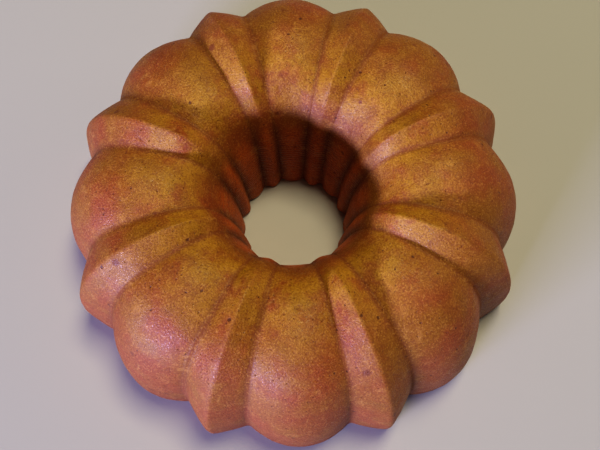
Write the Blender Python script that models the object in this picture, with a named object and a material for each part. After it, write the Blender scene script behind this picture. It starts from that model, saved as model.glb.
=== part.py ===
"""A lemon bundt cake, whole and unglazed, as it stands turned out of its ring pan.

It is one solid: a ring with a flat base and a funnel-shaped hole. Eight round
lobes alternate with eight sharp ridges, and a crease runs between each pair,
up the outside, over the crown and down the wall of the hole.

Frame: metres, +Z up, origin at the middle of the base, a lobe facing -Y.
"""

import math
from typing import NamedTuple

import bmesh
import bpy

MM = 0.001


class Rail(NamedTuple):
    """One line drawn over the ring, from the outer foot across the crown to the foot of the hole."""

    foot_radius: float
    crown_height: float
    lean: float  # how far the outer wall leans in by the crown
    shoulder_roundness: float  # superellipse exponent: 2 is an ellipse, more is squarer
    mouth_radius: float  # where the wall of the hole would meet the crown's height
    hole_radius: float  # at the foot of the hole
    mouth_roundness: float


CROWN_RADIUS = 70.5 * MM

CREASE = Rail(
    foot_radius=116 * MM,
    crown_height=86 * MM,
    lean=4.2 * MM,
    shoulder_roundness=2.85,
    mouth_radius=35 * MM,
    hole_radius=30.2 * MM,
    mouth_roundness=3.3,
)
LOBE = Rail(
    foot_radius=125.4 * MM,
    crown_height=90 * MM,
    lean=4.2 * MM,
    shoulder_roundness=2.55,
    mouth_radius=33.5 * MM,
    hole_radius=28.0 * MM,
    mouth_roundness=2.55,
)
RIDGE = Rail(
    foot_radius=126.7 * MM,
    crown_height=93 * MM,
    lean=-2.0 * MM,
    shoulder_roundness=2.2,
    mouth_radius=33.5 * MM,
    hole_radius=27.2 * MM,
    mouth_roundness=2.8,
)

FLUTE_PAIRS = 8
RIDGE_SHARE = 0.39  # of a pair's width, outside and over the crown
RIDGE_SHARE_IN_HOLE = 0.46
LOBE_ARC = math.radians(60)  # half the arc that a lobe's section follows
CREST_SOFTNESS = 0.06  # rounding of a ridge's edge, as a share of its half width
CREST_SOFTNESS_IN_HOLE = 0.8  # there the ridges are round columns
BASE_EDGE = 1.6 * MM  # bevel round both edges of the flat base

LOBE_STEPS = 4  # facets from a crease to the middle of a lobe
RIDGE_STEPS = 3  # facets from a crease to a ridge's crest
WALL_STEPS = 18  # facets from the outer foot to the crown, and again down into the hole

CRUST_COLOUR = (0.36, 0.13, 0.03, 1.0)
CRUST_ROUGHNESS = 0.62


def clear_scene():
    for obj in list(bpy.data.objects):
        bpy.data.objects.remove(obj, do_unlink=True)


def quarter(angle, across, up, roundness):
    """A point on a quarter of a superellipse, from (across, 0) at angle 0 to (0, up) at 90 degrees."""
    power = 2 / roundness
    return across * max(math.cos(angle), 0.0) ** power, up * math.sin(angle) ** power


def rail_point(rail, along):
    """Radius and height at a share, 0 to 1, of the way from the outer foot to the foot of the hole."""
    rise = rail.crown_height - BASE_EDGE
    if along <= 0.5:
        across = rail.foot_radius - rail.lean - CROWN_RADIUS
        out, up = quarter(math.pi * along, across, rise, rail.shoulder_roundness)
        radius = CROWN_RADIUS + out + rail.lean * (1 - up / rise)
    else:
        across = CROWN_RADIUS - rail.mouth_radius
        out, up = quarter(math.pi * (1 - along), across, rise, rail.mouth_roundness)
        taper = rail.mouth_radius - rail.hole_radius
        radius = CROWN_RADIUS - out - taper * (1 - up / rise)
    return radius, BASE_EDGE + up


def towards_hole(over_crown, in_hole, along):
    """A size that holds from the outer foot to the crown and then changes down the wall of the hole."""
    into_hole = max(0.0, 2 * along - 1) ** 2
    return over_crown + (in_hole - over_crown) * into_hole


def lobe_rise(offset):
    """Rise of a lobe over its creases: 1 in the middle, 0 at offset 1, along a circular arc."""
    low = math.cos(LOBE_ARC)
    return (math.cos(offset * LOBE_ARC) - low) / (1 - low)


def ridge_rise(offset, softness):
    """Rise of a ridge over its creases: two faces that meet in an edge of the given softness."""
    high = math.hypot(1, softness)
    return (high - math.hypot(offset, softness)) / (high - softness)


def flute_offsets():
    """One pair's cross-section as (flute, offset from its middle), from the lobe's middle to the next."""
    lobe = [("lobe", i / LOBE_STEPS) for i in range(LOBE_STEPS + 1)]
    ridge = [("ridge", i / RIDGE_STEPS - 1) for i in range(1, 2 * RIDGE_STEPS + 1)]
    next_lobe = [("lobe", i / LOBE_STEPS - 1) for i in range(1, LOBE_STEPS)]
    return lobe + ridge[:-1] + [("crease", 0.0)] + next_lobe


def ring_points(along):
    """The ring of points that the surface passes through at one share of the way over."""
    crease_radius, crease_height = rail_point(CREASE, along)
    share = towards_hole(RIDGE_SHARE, RIDGE_SHARE_IN_HOLE, along)
    softness = towards_hole(CREST_SOFTNESS, CREST_SOFTNESS_IN_HOLE, along)
    pair_angle = 2 * math.pi / FLUTE_PAIRS
    half_lobe = pair_angle * (1 - share) / 2
    half_ridge = pair_angle * share / 2
    points = []
    for pair in range(FLUTE_PAIRS):
        lobe_middle = pair * pair_angle - math.pi / 2
        for flute, offset in flute_offsets():
            radius, height = crease_radius, crease_height
            if flute == "ridge":
                angle = lobe_middle + pair_angle / 2 + offset * half_ridge
                rail, rise = RIDGE, ridge_rise(offset, softness)
            elif flute == "crease":
                angle = lobe_middle + pair_angle - half_lobe
                rail, rise = CREASE, 0.0
            else:
                middle = lobe_middle if offset >= 0 else lobe_middle + pair_angle
                angle = middle + offset * half_lobe
                rail, rise = LOBE, lobe_rise(offset)
            top_radius, top_height = rail_point(rail, along)
            radius += (top_radius - crease_radius) * rise
            height += (top_height - crease_height) * rise
            points.append((radius, angle, height))
    return points


def base_ring(ring, inset):
    """The edge of the flat base under a foot ring, moved in by the bevel."""
    return [(radius + inset, angle, 0.0) for radius, angle, height in ring]


def crust_material():
    material = bpy.data.materials.new("crust")
    material.use_nodes = True
    shader = material.node_tree.nodes["Principled BSDF"]
    shader.inputs["Base Color"].default_value = CRUST_COLOUR
    shader.inputs["Roughness"].default_value = CRUST_ROUGHNESS
    shader.inputs["Metallic"].default_value = 0.0
    material.diffuse_color = CRUST_COLOUR
    return material


def make_cake():
    steps = 2 * WALL_STEPS
    rings = [ring_points(step / steps) for step in range(steps + 1)]
    rings.insert(0, base_ring(rings[0], -BASE_EDGE))
    rings.append(base_ring(rings[-1], BASE_EDGE))

    mesh = bmesh.new()
    loops = []
    for ring in rings:
        corners = [(r * math.cos(a), r * math.sin(a), z) for r, a, z in ring]
        loops.append([mesh.verts.new(corner) for corner in corners])
    around = len(loops[0])
    for lower, upper in zip(loops, loops[1:] + loops[:1]):
        for i in range(around):
            following = (i + 1) % around
            mesh.faces.new((lower[i], lower[following], upper[following], upper[i]))
    bmesh.ops.recalc_face_normals(mesh, faces=mesh.faces)

    data = bpy.data.meshes.new("cake")
    mesh.to_mesh(data)
    mesh.free()
    data.shade_smooth()
    data.set_sharp_from_angle(angle=math.radians(35))
    cake = bpy.data.objects.new("cake", data)
    bpy.context.collection.objects.link(cake)
    data.materials.append(crust_material())
    return cake


def main():
    clear_scene()
    make_cake()


main()
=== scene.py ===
"""Looks of the lemon bundt cake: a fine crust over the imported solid, a pale floor and soft studio light.

The crust repeats the solid's own rails (crease, lobe and ridge), sampled finely, and adds the
small relief that baking leaves: an uneven skin and burst bubbles. Its foot has a small bevel.
"""

import math
from typing import NamedTuple

import bpy
import numpy as np
from mathutils import Euler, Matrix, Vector, noise


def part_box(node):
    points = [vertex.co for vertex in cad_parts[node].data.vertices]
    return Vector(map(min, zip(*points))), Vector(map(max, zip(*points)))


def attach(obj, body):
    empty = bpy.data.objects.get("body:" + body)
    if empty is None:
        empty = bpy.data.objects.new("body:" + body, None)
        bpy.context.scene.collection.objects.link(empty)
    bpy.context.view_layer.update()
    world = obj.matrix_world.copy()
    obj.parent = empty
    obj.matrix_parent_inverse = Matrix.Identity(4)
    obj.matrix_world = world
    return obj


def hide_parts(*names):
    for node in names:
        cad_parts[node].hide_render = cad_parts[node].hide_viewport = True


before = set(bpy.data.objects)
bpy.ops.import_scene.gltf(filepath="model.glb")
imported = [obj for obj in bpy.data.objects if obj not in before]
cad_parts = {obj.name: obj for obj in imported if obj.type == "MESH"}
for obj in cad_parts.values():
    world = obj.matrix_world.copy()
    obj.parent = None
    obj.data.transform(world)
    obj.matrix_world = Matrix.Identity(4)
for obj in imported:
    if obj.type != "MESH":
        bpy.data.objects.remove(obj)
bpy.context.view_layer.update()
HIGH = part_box("cake")[1]

MM = 0.001
REACH = HIGH.x  # from the axis to the outermost point of a lobe
HEIGHT = HIGH.z


class Rail(NamedTuple):
    """One line over the ring, from the outer foot across the crown to the foot of the hole."""

    foot_radius: float
    crown_height: float
    lean: float  # how far the outer side comes in between the foot and the crown
    shoulder_roundness: float  # power of the outer superellipse quarter
    mouth_radius: float  # of the wall of the hole, before its taper
    hole_radius: float  # at the foot of the hole
    mouth_roundness: float  # power of the inner superellipse quarter


CROWN_RADIUS = 70.5 * MM
CREASE = Rail(REACH - 9.4 * MM, HEIGHT - 7 * MM, 4.2 * MM, 2.85, 35 * MM, 30.2 * MM, 3.3)
LOBE = Rail(REACH, HEIGHT - 3 * MM, 4.2 * MM, 2.55, 33.5 * MM, 28.0 * MM, 2.55)
RIDGE = Rail(REACH + 1.3 * MM, HEIGHT, -2.0 * MM, 2.2, 33.5 * MM, 27.2 * MM, 2.8)

FLUTE_PAIRS = 8
PAIR_ANGLE = 2 * math.pi / FLUTE_PAIRS
RIDGE_SHARE = 0.39  # of the angle of a pair, on the outer side
RIDGE_SHARE_IN_HOLE = 0.46
LOBE_ARC = math.radians(60)  # half the arc that the section of a lobe follows
CREST_SOFTNESS = 0.05  # as a share of half the width of a ridge
CREST_SOFTNESS_IN_HOLE = 0.8
BASE_EDGE = 1.6 * MM

LOBE_STEPS = 22  # cells from a crease to the middle of a lobe
RIDGE_STEPS = 15
WALL_STEPS = 152  # cells from the outer foot over the crown to the foot of the hole
BASE_STEPS = 9
RAIL_SAMPLES = 6001  # points that measure the length of a rail
SOFTENING = 0.25  # share by which each column moves toward its neighbours
SHORTEST_NORMAL = 1e-12

UNEVEN_SKIN = ((0.45 * MM, 32 * MM), (0.16 * MM, 8 * MM), (0.09 * MM, 3.2 * MM))  # heights and sizes
SKIN_INSET = 0.45 * MM  # sets the skin back, so that it stays inside the box of the solid
NOISE_STRIDE = (7.31, 3.17, 5.77)  # sets the noise of each seed apart from the others

BUBBLES = 130
BUBBLE_SEED = 11
BUBBLE_RADIUS = 1.3 * MM
BUBBLE_DEPTH = 0.7 * MM
BUBBLE_SIZES = (0.7, 1.5)  # least and most, as shares of the radius
BUBBLE_SQUEEZES = (0.6, 1.0)
BUBBLE_DEPTHS = (0.4, 1.0)


def quarter(angle, across, up, roundness):
    """Offsets from the centre of a superellipse quarter: across at an angle of 0, up at a right angle."""
    power = 2 / roundness
    return across * np.clip(np.cos(angle), 0, 1) ** power, up * np.clip(np.sin(angle), 0, 1) ** power


def rail_line(rail, along):
    """Radii and heights along a rail; along runs 0 to 1."""
    rise = rail.crown_height - BASE_EDGE
    shoulder = rail.foot_radius - rail.lean - CROWN_RADIUS
    out, up = quarter(np.pi * along, shoulder, rise, rail.shoulder_roundness)
    outer = CROWN_RADIUS + out + rail.lean * (1 - up / rise), BASE_EDGE + up
    mouth = CROWN_RADIUS - rail.mouth_radius
    back, up = quarter(np.pi * (1 - along), mouth, rise, rail.mouth_roundness)
    taper = rail.mouth_radius - rail.hole_radius
    inner = CROWN_RADIUS - back - taper * (1 - up / rise), BASE_EDGE + up
    outside = along <= 0.5
    return np.where(outside, outer[0], inner[0]), np.where(outside, outer[1], inner[1])


def even_stations(count):
    """Shares of the way over that are about evenly spaced in length along the crease."""
    fine = np.linspace(0, 1, RAIL_SAMPLES)
    radius, height = rail_line(CREASE, fine)
    length = np.concatenate([[0], np.cumsum(np.hypot(np.diff(radius), np.diff(height)))])
    return np.interp(np.linspace(0, length[-1], count + 1), length, fine)


def flute_columns():
    """For each column round the ring: the middle of its flute, its offset from there, is it a ridge."""
    lobe = np.arange(-LOBE_STEPS, LOBE_STEPS) / LOBE_STEPS
    ridge = np.arange(-RIDGE_STEPS, RIDGE_STEPS) / RIDGE_STEPS
    middles, offsets, ridges = [], [], []
    for pair in range(FLUTE_PAIRS):
        lobe_middle = pair * PAIR_ANGLE - math.pi / 2
        middles += [lobe_middle] * len(lobe) + [lobe_middle + PAIR_ANGLE / 2] * len(ridge)
        offsets += list(lobe) + list(ridge)
        ridges += [False] * len(lobe) + [True] * len(ridge)
    return np.array(middles), np.array(offsets), np.array(ridges)


def crust_grid():
    """Angle, radius, height, rise over the crease and share of the way over, by [station, column]."""
    along = even_stations(WALL_STEPS)[:, None]
    middles, offsets, ridges = flute_columns()
    into_hole = np.clip(2 * along - 1, 0, 1) ** 2
    share = RIDGE_SHARE + (RIDGE_SHARE_IN_HOLE - RIDGE_SHARE) * into_hole
    softness = CREST_SOFTNESS + (CREST_SOFTNESS_IN_HOLE - CREST_SOFTNESS) * into_hole
    half_width = PAIR_ANGLE * np.where(ridges, share, 1 - share) / 2
    angle = middles + offsets * half_width

    low = math.cos(LOBE_ARC)
    lobe_rise = (np.cos(offsets * LOBE_ARC) - low) / (1 - low)
    high = np.hypot(1, softness)
    ridge_rise = (high - np.hypot(offsets, softness)) / (high - softness)
    rise = np.where(ridges, ridge_rise, lobe_rise)

    crease, lobe, ridge = (rail_line(rail, along) for rail in (CREASE, LOBE, RIDGE))
    radius = crease[0] + rise * (np.where(ridges, ridge[0], lobe[0]) - crease[0])
    height = crease[1] + rise * (np.where(ridges, ridge[1], lobe[1]) - crease[1])
    for grid in (radius, height):
        grid += SOFTENING * (np.roll(grid, 1, axis=1) + np.roll(grid, -1, axis=1) - 2 * grid)
    return angle, radius, height, np.broadcast_to(rise, radius.shape), np.broadcast_to(along, radius.shape)


def normals_of(points):
    """Unit normals of a grid of points [station, column, xyz] that closes round the ring."""
    along = np.gradient(points, axis=0)
    around = np.roll(points, -1, axis=1) - np.roll(points, 1, axis=1)
    normal = np.cross(around, along)
    return normal / np.maximum(np.linalg.norm(normal, axis=2, keepdims=True), SHORTEST_NORMAL)


def noise_field(points, size, seed):
    """Smooth noise of about -1 to 1 with features of the given size, in metres."""
    shift = Vector([seed * stride for stride in NOISE_STRIDE])
    flat = points.reshape(-1, 3) / size
    return np.array([noise.noise(Vector(p) + shift) for p in flat]).reshape(points.shape[:-1])


def burst_bubbles(points):
    """Depth, 0 to 1, of the small pits where bubbles in the batter burst against the pan."""
    rng = np.random.default_rng(BUBBLE_SEED)
    depth = np.zeros(points.shape[:2])
    flat = points.reshape(-1, 3)
    for centre in flat[rng.integers(0, len(flat), BUBBLES)]:
        size = BUBBLE_RADIUS * rng.uniform(*BUBBLE_SIZES)
        squeeze = rng.uniform(*BUBBLE_SQUEEZES, 3)
        gap = np.linalg.norm((points - centre) / squeeze, axis=2) / size
        depth = np.maximum(depth, rng.uniform(*BUBBLE_DEPTHS) * np.clip(1 - gap**2, 0, 1))
    return depth


def build_crust():
    """Points of the skin above the base, by [station, column, xyz], and what the shader reads there."""
    angle, radius, height, rise, along = crust_grid()
    points = np.stack([radius * np.cos(angle), radius * np.sin(angle), height], axis=2)
    normal = normals_of(points)
    swells = enumerate(UNEVEN_SKIN, start=1)
    relief = sum(swell * noise_field(points, size, seed) for seed, (swell, size) in swells) - SKIN_INSET
    pit = burst_bubbles(points)
    relief -= BUBBLE_DEPTH * pit
    points = points + normal * relief[..., None]
    return points, {"rise": rise, "along": along, "pit": pit}


def make_mesh(name, rings, layers):
    """A closed mesh from rings of points, each joined to the next and the last to the first."""
    stations, columns, _ = rings.shape
    index = np.arange(stations * columns).reshape(stations, columns)
    beside = np.roll(index, -1, axis=1)
    corners = [index, beside, np.roll(beside, -1, axis=0), np.roll(index, -1, axis=0)]
    quads = np.stack(corners, axis=2).reshape(-1, 4)
    mesh = bpy.data.meshes.new(name)
    mesh.from_pydata(rings.reshape(-1, 3).tolist(), [], quads.tolist())
    for key, values in layers.items():
        layer = mesh.attributes.new(key, "FLOAT", "POINT")
        layer.data.foreach_set("value", np.ascontiguousarray(values, np.float32).ravel())
    mesh.update()
    mesh.shade_smooth()
    piece = bpy.data.objects.new(name, mesh)
    bpy.context.collection.objects.link(piece)
    return piece


def base_rings(outer, inner):
    """Rings of the flat base, from the outer edge in to the hole; the end rings sit one bevel in."""
    def edge(ring, inset):
        r = np.hypot(ring[:, 0], ring[:, 1])
        flat = ring * ((r + inset) / r)[:, None]
        flat[:, 2] = 0
        return flat
    start, stop = edge(outer, -BASE_EDGE), edge(inner, BASE_EDGE)
    shares = np.linspace(0, 1, BASE_STEPS + 1)[:, None, None]
    return start * (1 - shares) + stop * shares


def make_cake():
    points, layers = build_crust()
    base = base_rings(points[0], points[-1])[::-1]
    flat = np.zeros(base.shape[:2])
    layers = {key: np.concatenate([values, flat]) for key, values in layers.items()}
    layers["under"] = np.concatenate([np.zeros(points.shape[:2]), flat + 1])
    return make_mesh("crust", np.concatenate([points, base]), layers)


SHADER_STRIDE = (37.1, 19.7, 53.3)  # in millimetres; sets the texture of each seed apart from the others


class Graph:
    """Short forms for building a material's nodes. Sizes are in millimetres of the object."""

    def __init__(self, material):
        material.use_nodes = True
        self.tree = material.node_tree
        self.shader = self.tree.nodes["Principled BSDF"]
        self.place = self.scaled(self.add("ShaderNodeTexCoord").outputs["Object"], 1 / MM)

    def add(self, kind, inputs=None, **settings):
        node = self.tree.nodes.new(kind)
        for name, value in settings.items():
            setattr(node, name, value)
        for name, value in (inputs or {}).items():
            self.put(node.inputs[name], value)
        return node

    def put(self, socket, value):
        if isinstance(value, bpy.types.NodeSocket):
            self.tree.links.new(value, socket)
        else:
            socket.default_value = value

    def scaled(self, vector, factor):
        return self.add("ShaderNodeVectorMath", {0: vector, "Scale": factor}, operation="SCALE").outputs[0]

    def shifted(self, seed):
        shift = [seed * stride for stride in SHADER_STRIDE]
        return self.add("ShaderNodeVectorMath", {0: self.place, 1: shift}).outputs[0]

    def noise(self, size, seed, detail=2.0, rough=0.5):
        return self.add(
            "ShaderNodeTexNoise",
            {"Vector": self.shifted(seed), "Scale": 1 / size, "Detail": detail, "Roughness": rough},
        ).outputs["Fac"]

    def attribute(self, name):
        return self.add("ShaderNodeAttribute", attribute_name=name).outputs["Fac"]

    def math(self, operation, *values):
        return self.add("ShaderNodeMath", dict(enumerate(values)), operation=operation).outputs[0]

    def step(self, value, start, stop, low=0.0, high=1.0):
        """low up to start, high from stop on, with a smooth change between."""
        ends = {"Value": value, "From Min": start, "From Max": stop, "To Min": low, "To Max": high}
        return self.add("ShaderNodeMapRange", ends, interpolation_type="SMOOTHSTEP").outputs[0]

    def mix(self, share, first, second):
        """The first colour, turned into the second by the given share."""
        node = self.add("ShaderNodeMix", data_type="RGBA")
        for socket, value in ((node.inputs[0], share), (node.inputs[6], first), (node.inputs[7], second)):
            self.put(socket, value)
        return node.outputs[2]


GOLDEN = (0.330, 0.130, 0.013, 1)
YELLOW = (0.43, 0.208, 0.012, 1)
# Red-brown: the crust's own tone in random patches; at the foot it is partly painted shade.
TOASTED_AND_SHADE = (0.33, 0.077, 0.015, 1)
# Dark brown: the crust's own browning in the mottle, grain and blots; painted shade at the foot, down into
# the hole, in the creases and in the bubble pits.
BROWNED_AND_SHADE = (0.20, 0.046, 0.010, 1)
# Bright red of the hole wall: part crust colour, part painted light bounced round inside the hole.
HOLE_RED_AND_BOUNCED_LIGHT = (0.60, 0.130, 0.016, 1)
# Painted shade in the grooves between the columns and ripples of the hole.
HOLE_GROOVE_SHADE = (0.15, 0.028, 0.006, 1)
DARK_SPECK = (0.105, 0.020, 0.006, 1)
PALE_CRUMB = (0.68, 0.36, 0.09, 1)
UNDERSIDE = (0.46, 0.22, 0.060, 1)

# Where each zone starts to show and where it is full, as shares of the way over the ring: 0 at the
# outer foot, 0.5 on the crown and 1 at the foot of the hole.
# The foot zone makes the lower sides redder and darker: part crust tone, part painted shade.
FOOT = (0.33, 0.06)
# Painted shade at the very foot.
FOOT_EDGE_SHADE = (0.14, 0.0)
CREASES = (0.05, 0.25)
INNER_CROWN = (0.38, 0.56)
ABOVE_HOLE = (0.78, 0.62)
# Painted shade from the rim down into the hole.
HOLE_RIM_SHADE = (0.66, 0.75)
HOLE_WALL = (0.75, 0.83)
HOLE_RIPPLES = (0.80, 0.90)

SPECK_SWAY = 1.5  # millimetres by which the outline of a speck wanders
SPECK_RAGGEDNESS = 0.7  # how many times it does so in a millimetre


def zone_colour(g, along, rise, ripple):
    """Colour by place: golden, yellow round the hole, redder and darker at the foot (part crust tone, part
    painted shade), painted shade in the creases and down into the hole, and in the hole red columns (part
    crust colour, part painted bounced light) with painted shade in their grooves.
    """
    blotch = g.noise(24, 1, detail=3)
    colour = g.mix(g.step(blotch, 0.36, 0.64), TOASTED_AND_SHADE, GOLDEN)
    inner_crown = g.math("MULTIPLY", g.step(along, *INNER_CROWN), g.step(along, *ABOVE_HOLE))
    crease = g.math("MULTIPLY", g.step(rise, 0.4, 0.0), g.step(along, *CREASES))
    yellowing = g.math("MAXIMUM", inner_crown, g.math("MULTIPLY", crease, 0.6))
    patchy = g.step(g.noise(11, 12, detail=3, rough=0.6), 0.30, 0.62)
    colour = g.mix(g.math("MULTIPLY", yellowing, patchy), colour, YELLOW)
    # Redder and darker towards the foot: part crust tone, part painted shade on the lower sides.
    foot = g.math("MULTIPLY", g.step(along, *FOOT), g.step(g.noise(14, 13, detail=3), 0.26, 0.58))
    colour = g.mix(g.math("MULTIPLY", foot, 0.9), colour, TOASTED_AND_SHADE)
    # Painted shade at the very foot.
    colour = g.mix(g.step(along, *FOOT_EDGE_SHADE, high=0.45), colour, BROWNED_AND_SHADE)
    # Painted shade, darker from the rim down into the hole.
    colour = g.mix(g.step(along, *HOLE_RIM_SHADE, high=0.30), colour, BROWNED_AND_SHADE)
    # Painted shade in the creases, darker where the rise nears 0.
    colour = g.mix(g.step(rise, 0.28, 0.0, high=0.65), colour, BROWNED_AND_SHADE)
    # In the hole: painted shade in the grooves between the columns and between the ripples; the columns'
    # red is part crust colour, part painted bounced light.
    uneven = g.math("ADD", g.math("MULTIPLY", rise, 0.8), g.math("MULTIPLY", ripple, 0.3))
    column = g.mix(g.step(uneven, 0.05, 0.95), HOLE_GROOVE_SHADE, HOLE_RED_AND_BOUNCED_LIGHT)
    return g.mix(g.step(along, *HOLE_WALL, high=0.9), colour, column)


def specks(g, spacing, seed, share, smallest, largest):
    """1 inside scattered dark flecks: one for each Voronoi cell, in the given share of the cells."""
    wander = {"Vector": g.shifted(seed + 1), "Scale": SPECK_RAGGEDNESS, "Detail": 2.0}
    sway = g.scaled(g.add("ShaderNodeTexNoise", wander).outputs["Color"], SPECK_SWAY)
    place = g.add("ShaderNodeVectorMath", {0: g.shifted(seed), 1: sway}).outputs[0]
    cells = g.add("ShaderNodeTexVoronoi", {"Vector": place, "Scale": 1 / spacing})
    chance = g.add("ShaderNodeSeparateColor", {0: cells.outputs["Color"]})
    millimetres = g.math("MULTIPLY", cells.outputs["Distance"], spacing)
    radius = g.step(chance.outputs[1], 0.0, 1.0, smallest, largest)
    inside = g.step(g.math("DIVIDE", millimetres, radius), 1.0, 0.55)
    return g.math("MULTIPLY", inside, g.math("LESS_THAN", chance.outputs[0], share))


def crust_material():
    material = bpy.data.materials.new("crust_baked")
    g = Graph(material)
    along, rise, pit, under = (g.attribute(name) for name in ("along", "rise", "pit", "under"))

    wave = {"Vector": g.place, "Scale": 0.15, "Distortion": 5.0, "Detail": 2.0, "Detail Scale": 0.35}
    ripple = g.add("ShaderNodeTexWave", wave, bands_direction="Z").outputs["Fac"]
    ripple = g.math("MULTIPLY", ripple, g.step(along, *HOLE_RIPPLES))
    mottle = g.noise(6, 2, detail=4, rough=0.6)
    grain = g.noise(0.9, 3, detail=3, rough=0.62)
    pores = specks(g, 2.6, 20, share=0.6, smallest=0.25, largest=0.55)
    small_flecks = specks(g, 5, 30, share=0.35, smallest=0.25, largest=0.7)
    large_flecks = specks(g, 10, 40, share=0.5, smallest=0.5, largest=1.2)
    flecks = g.math("MAXIMUM", small_flecks, large_flecks)
    blots = specks(g, 19, 50, share=0.6, smallest=1.3, largest=2.8)
    scuff_line = g.math("ABSOLUTE", g.math("SUBTRACT", g.noise(17, 7, detail=1), 0.5))
    scuffs = g.math("MULTIPLY", g.step(scuff_line, 0.026, 0.0), g.step(g.noise(15, 8), 0.57, 0.68))

    colour = g.mix(under, zone_colour(g, along, rise, ripple), UNDERSIDE)
    marks = (
        (g.step(mottle, 0.52, 0.74, high=0.34), BROWNED_AND_SHADE),
        (g.step(mottle, 0.46, 0.26, high=0.28), PALE_CRUMB),
        (g.math("MULTIPLY", scuffs, 0.28), PALE_CRUMB),
        (g.step(grain, 0.50, 0.66, high=0.60), BROWNED_AND_SHADE),
        (g.step(grain, 0.48, 0.32, high=0.38), PALE_CRUMB),
        (g.math("MULTIPLY", pores, 0.45), DARK_SPECK),
        (g.math("MULTIPLY", blots, 0.8), BROWNED_AND_SHADE),
        (g.math("MULTIPLY", flecks, 0.85), DARK_SPECK),
        # Painted shade in the burst-bubble pits.
        (g.math("MULTIPLY", pit, 0.7), BROWNED_AND_SHADE),
    )
    for share, tint in marks:
        colour = g.mix(share, colour, tint)
    g.put(g.shader.inputs["Base Color"], colour)

    satin = g.step(g.noise(9, 6, detail=3), 0.35, 0.65, low=0.58, high=0.68)
    glints = g.step(g.noise(0.8, 9, detail=1), 0.58, 0.68, high=0.28)
    oily = g.math("SUBTRACT", satin, glints)
    groove = g.step(rise, 0.2, 0.0)
    dry = g.math("MULTIPLY", g.math("MAXIMUM", g.math("MAXIMUM", under, pores), groove), 0.85)
    g.put(g.shader.inputs["Roughness"], g.math("MAXIMUM", oily, dry))
    g.shader.inputs["Specular IOR Level"].default_value = 0.7

    height = g.math("MULTIPLY", grain, -0.9)
    height = g.math("SUBTRACT", height, g.math("MULTIPLY", pores, 0.5))
    height = g.math("SUBTRACT", height, g.math("MULTIPLY", flecks, 0.5))
    height = g.math("ADD", height, g.math("MULTIPLY", ripple, 1.6))
    bump = g.add("ShaderNodeBump", {"Height": height, "Distance": 0.35 * MM, "Strength": 1.0})
    g.put(g.shader.inputs["Normal"], bump.outputs[0])
    return material


FLOOR_SIZE = 20
FLOOR_COLOUR = (0.50, 0.49, 0.51, 1)
FLOOR_ROUGHNESS = 0.9
WORLD_COLOUR = (1, 1, 1, 1)
WORLD_STRENGTH = 0.05

CAMERA_PLACE = (-0.0003, -0.1351, 0.4739)
CAMERA_DIP = 73.92  # degrees below the level
CAMERA_TURN = -1.59
CAMERA_LENS = 50.3
CAMERA_SENSOR = 36


def make_floor():
    bpy.ops.mesh.primitive_plane_add(size=FLOOR_SIZE)
    floor = bpy.context.object
    floor.name = "floor"
    material = bpy.data.materials.new("floor_pale")
    material.use_nodes = True
    shader = material.node_tree.nodes["Principled BSDF"]
    shader.inputs["Base Color"].default_value = FLOOR_COLOUR
    shader.inputs["Roughness"].default_value = FLOOR_ROUGHNESS
    floor.data.materials.append(material)


def area_light(name, colour, azimuth, elevation, distance, size, power):
    """A rectangular soft box that faces the cake. Size is its width and height; angles are in degrees."""
    data = bpy.data.lights.new(name, "AREA")
    data.shape = "RECTANGLE"
    data.size, data.size_y = size
    data.energy = power
    data.color = colour
    aim = Vector((0, 0, HEIGHT / 2))
    turn, lift = math.radians(azimuth), math.radians(elevation)
    away = Vector((math.cos(lift) * math.cos(turn), math.cos(lift) * math.sin(turn), math.sin(lift)))
    light = bpy.data.objects.new(name, data)
    light.location = aim + distance * away
    light.rotation_euler = away.to_track_quat("Z", "Y").to_euler()
    light.visible_camera = False
    bpy.context.collection.objects.link(light)


def make_lights():
    warm, cool, blush = (1.0, 0.92, 0.58), (0.55, 0.56, 1.0), (1.0, 0.80, 0.68)
    area_light("overhead", warm, azimuth=55, elevation=74, distance=2.6, size=(0.8, 0.8), power=38)
    area_light("window", cool, azimuth=227, elevation=12, distance=3.0, size=(1.4, 0.18), power=135)
    area_light("fill", blush, azimuth=20, elevation=20, distance=3.0, size=(1.6, 1.0), power=7)
    world = bpy.data.worlds.new("studio")
    world.use_nodes = True
    background = world.node_tree.nodes["Background"]
    background.inputs["Color"].default_value = WORLD_COLOUR
    background.inputs["Strength"].default_value = WORLD_STRENGTH
    bpy.context.scene.world = world


def make_camera():
    data = bpy.data.cameras.new("camera")
    data.sensor_width = CAMERA_SENSOR
    data.lens = CAMERA_LENS
    camera = bpy.data.objects.new("camera", data)
    camera.location = CAMERA_PLACE
    camera.rotation_euler = Euler((math.radians(90 - CAMERA_DIP), 0, math.radians(CAMERA_TURN)), "XYZ")
    bpy.context.collection.objects.link(camera)
    bpy.context.scene.camera = camera


bpy.context.scene.view_settings.view_transform = "Standard"
bpy.context.scene.view_settings.look = "High Contrast"
cake = make_cake()
cake.data.materials.append(crust_material())
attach(cake, "root")
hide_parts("cake")
make_floor()
make_lights()
make_camera()
